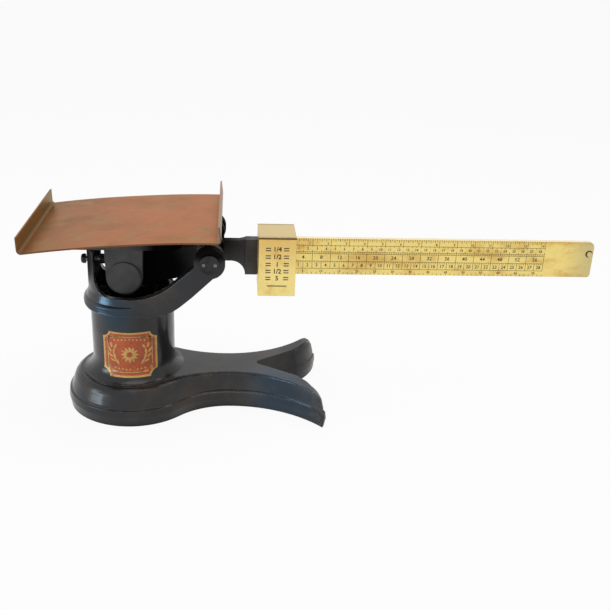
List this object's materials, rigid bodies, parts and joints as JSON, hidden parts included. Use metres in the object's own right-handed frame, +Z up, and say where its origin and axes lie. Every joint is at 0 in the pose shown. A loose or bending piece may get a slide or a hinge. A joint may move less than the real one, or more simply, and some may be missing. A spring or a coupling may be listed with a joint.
{
  "type": "postal beam scale",
  "caption": "Beam scale for letters and parcels: iron stand with feet, graduated brass beam with sliding poise, and a pan held level by a check link.",
  "frame": {"origin": "where the column's axis meets the table", "axes": "+Z up; +X from the column along the beam to its free end, the pan at the other end; the graduated side faces -Y"},
  "size_m": [0.3237, 0.093, 0.1225],
  "materials": {
    "japanned_iron": "black japan, worn at the edges",
    "filler_iron": "as cast",
    "dark_steel": "blackened",
    "bright_steel": "bare, polished on the knives",
    "bar_brass": "lacquered and tarnished",
    "poise_brass": "polished",
    "pan_copper": "copper-coloured, tarnished"
  },
  "bodies": {
    "stand": {"base_casting": "japanned_iron", "yoke": "japanned_iron", "yoke_screws": "dark_steel", "fulcrum_bearing_front": "bright_steel", "fulcrum_bearing_rear": "bright_steel", "fulcrum_cap_front": "dark_steel", "fulcrum_cap_rear": "dark_steel", "cap_screws": "bright_steel", "link_bracket": "dark_steel", "bracket_screws": "dark_steel", "bracket_pin": "dark_steel"},
    "beam": {"beam_casting": "japanned_iron", "fulcrum_knife": "bright_steel", "load_knife_front": "bright_steel", "load_knife_rear": "bright_steel", "scale_bar": "bar_brass", "bar_rivets": "japanned_iron", "stop_pin": "bar_brass", "tail_rod": "bright_steel", "tail_knob": "dark_steel"},
    "nut": {"balance_nut": "dark_steel"},
    "poise": {"poise_body": "poise_brass", "poise_front_plate": "poise_brass", "poise_rear_plate": "poise_brass", "poise_filler": "filler_iron", "poise_spring": "bright_steel"},
    "pan_carrier": {"carrier_casting": "japanned_iron", "load_bearing_front": "bright_steel", "load_bearing_rear": "bright_steel", "carrier_stem": "dark_steel", "stem_nut": "dark_steel", "stem_clevis": "dark_steel", "link_pin": "dark_steel", "pan": "pan_copper", "pan_rivets": "pan_copper"},
    "link": {"check_link": "dark_steel"}
  },
  "joints": [
    {"name": "beam_tip", "type": "hinge", "parent": "stand", "child": "beam", "pos_m": [0.0455, 0, 0.094], "axis": [0, 1, 0], "range_deg": [-2.5, 2.5]},
    {"name": "carrier_level", "type": "hinge", "parent": "beam", "child": "pan_carrier", "pos_m": [-0.002, 0, 0.087], "axis": [0, 1, 0], "range_deg": [-2.5, 2.5]},
    {"name": "link_swing", "type": "hinge", "parent": "stand", "child": "link", "pos_m": [0.0455, 0, 0.014], "axis": [0, 1, 0], "range_deg": [-2.5, 2.5]},
    {"name": "poise_slide", "type": "slide", "parent": "beam", "child": "poise", "axis": [1, 0, 0], "range_m": [0, 0.1734]},
    {"name": "nut_adjust", "type": "slide", "parent": "beam", "child": "nut", "axis": [1, 0, 0], "range_m": [-0.001, 0.001]}
  ],
  "couplings": [
    {"joint": "carrier_level", "follows": "beam_tip", "ratio": -1},
    {"joint": "link_swing", "follows": "beam_tip", "ratio": 1}
  ]
}
